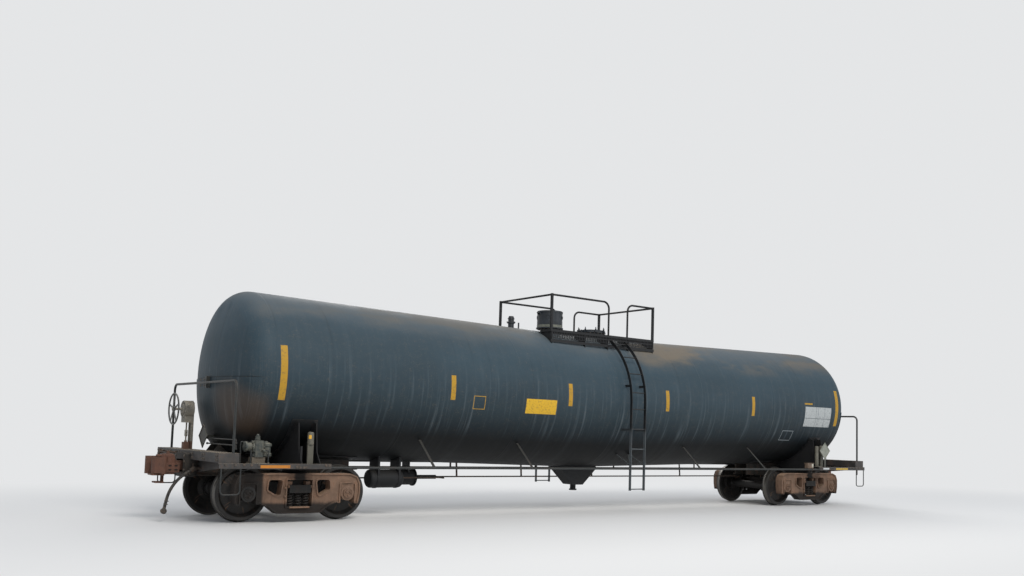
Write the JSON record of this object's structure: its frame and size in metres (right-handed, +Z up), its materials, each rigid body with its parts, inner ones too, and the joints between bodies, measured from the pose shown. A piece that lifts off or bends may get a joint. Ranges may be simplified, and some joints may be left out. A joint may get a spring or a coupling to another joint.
{
  "type": "railway tank car",
  "caption": "Railway tank car with a smooth shell that falls to a middle outlet, a manway platform with railings, side ladders, end platforms, couplers and swivelling trucks.",
  "frame": {"origin": "middle of the car, level with the bottoms of the wheel flanges it stands on", "axes": "+X along the car towards the end without the hand brake, +Y across the car, +Z up"},
  "size_m": [18.216, 3.224, 4.498],
  "materials": {
    "tank_paint": "weathered satin",
    "black_fitting": "weathered satin",
    "weathered_fitting": "dusty matt",
    "coupler_iron": "rusty",
    "truck_casting": "rusty",
    "wheel_steel": "rusty, bright treads",
    "hose_rubber": "matt"
  },
  "bodies": {
    "car": {"air_hose_a": "hose_rubber", "air_hose_b": "hose_rubber", "air_reservoir": "black_fitting", "body_bolsters": "black_fitting", "bottom_outlet": "black_fitting", "brake_cylinder": "black_fitting", "brake_rods": "black_fitting", "brake_wheel": "weathered_fitting", "control_valve": "weathered_fitting", "corner_steps": "black_fitting", "end_platform_a": "black_fitting", "end_platform_b": "black_fitting", "end_rails": "black_fitting", "glad_hand_a": "black_fitting", "glad_hand_b": "black_fitting", "hand_brake": "weathered_fitting", "head_shields": "tank_paint", "ladders": "black_fitting", "manway": "black_fitting", "placard_holders": "black_fitting", "relief_valve": "black_fitting", "saddle_pads": "tank_paint", "side_rails": "black_fitting", "stub_sill_a": "black_fitting", "stub_sill_b": "black_fitting", "tank": "tank_paint", "top_platform": "black_fitting", "top_rails": "black_fitting", "train_pipe": "black_fitting", "uncoupling_levers": "black_fitting", "valve_housing": "weathered_fitting"},
    "coupler_swing_a": {"coupler_a": "coupler_iron"},
    "coupler_swing_b": {"coupler_b": "coupler_iron"},
    "valve_lid": {"housing_lid": "weathered_fitting"},
    "manway_lid": {"manway_cover": "black_fitting"},
    "truck_a": {"truck_a_bolster": "truck_casting", "truck_a_brake_beams": "truck_casting", "truck_a_side_frames": "truck_casting", "truck_a_springs": "truck_casting"},
    "truck_b": {"truck_b_bolster": "truck_casting", "truck_b_brake_beams": "truck_casting", "truck_b_side_frames": "truck_casting", "truck_b_springs": "truck_casting"},
    "axle_a_inner": {"wheelset_a_inner": "wheel_steel"},
    "axle_a_outer": {"wheelset_a_outer": "wheel_steel"},
    "axle_b_inner": {"wheelset_b_inner": "wheel_steel"},
    "axle_b_outer": {"wheelset_b_outer": "wheel_steel"}
  },
  "joints": [
    {"name": "truck_b_swivel", "type": "hinge", "parent": "car", "child": "truck_b", "pos_m": [-6.917, 0, 0.673], "axis": [0, 0, 1], "range_deg": [-6, 6]},
    {"name": "coupler_b_swing", "type": "hinge", "parent": "car", "child": "coupler_swing_b", "pos_m": [-8.04, 0, 0.901], "axis": [0, 0, 1], "range_deg": [-7, 7]},
    {"name": "axle_b_outer_spin", "type": "hinge", "parent": "truck_b", "child": "axle_b_outer", "pos_m": [-7.806, 0, 0.482], "axis": [0, 1, 0], "continuous": true},
    {"name": "axle_b_inner_spin", "type": "hinge", "parent": "truck_b", "child": "axle_b_inner", "pos_m": [-6.028, 0, 0.482], "axis": [0, 1, 0], "continuous": true},
    {"name": "truck_a_swivel", "type": "hinge", "parent": "car", "child": "truck_a", "pos_m": [6.917, 0, 0.673], "axis": [0, 0, 1], "range_deg": [-6, 6]},
    {"name": "coupler_a_swing", "type": "hinge", "parent": "car", "child": "coupler_swing_a", "pos_m": [8.04, 0, 0.901], "axis": [0, 0, 1], "range_deg": [-7, 7]},
    {"name": "axle_a_outer_spin", "type": "hinge", "parent": "truck_a", "child": "axle_a_outer", "pos_m": [7.806, 0, 0.482], "axis": [0, 1, 0], "continuous": true},
    {"name": "axle_a_inner_spin", "type": "hinge", "parent": "truck_a", "child": "axle_a_inner", "pos_m": [6.028, 0, 0.482], "axis": [0, 1, 0], "continuous": true},
    {"name": "manway_lid_hinge", "type": "hinge", "parent": "car", "child": "manway_lid", "pos_m": [0.084, 0, 3.913], "axis": [0, -1, 0], "range_deg": [0, 100]},
    {"name": "valve_lid_hinge", "type": "hinge", "parent": "car", "child": "valve_lid", "pos_m": [-1.08, 0, 4.207], "axis": [0, -1, 0], "range_deg": [0, 100]}
  ]
}
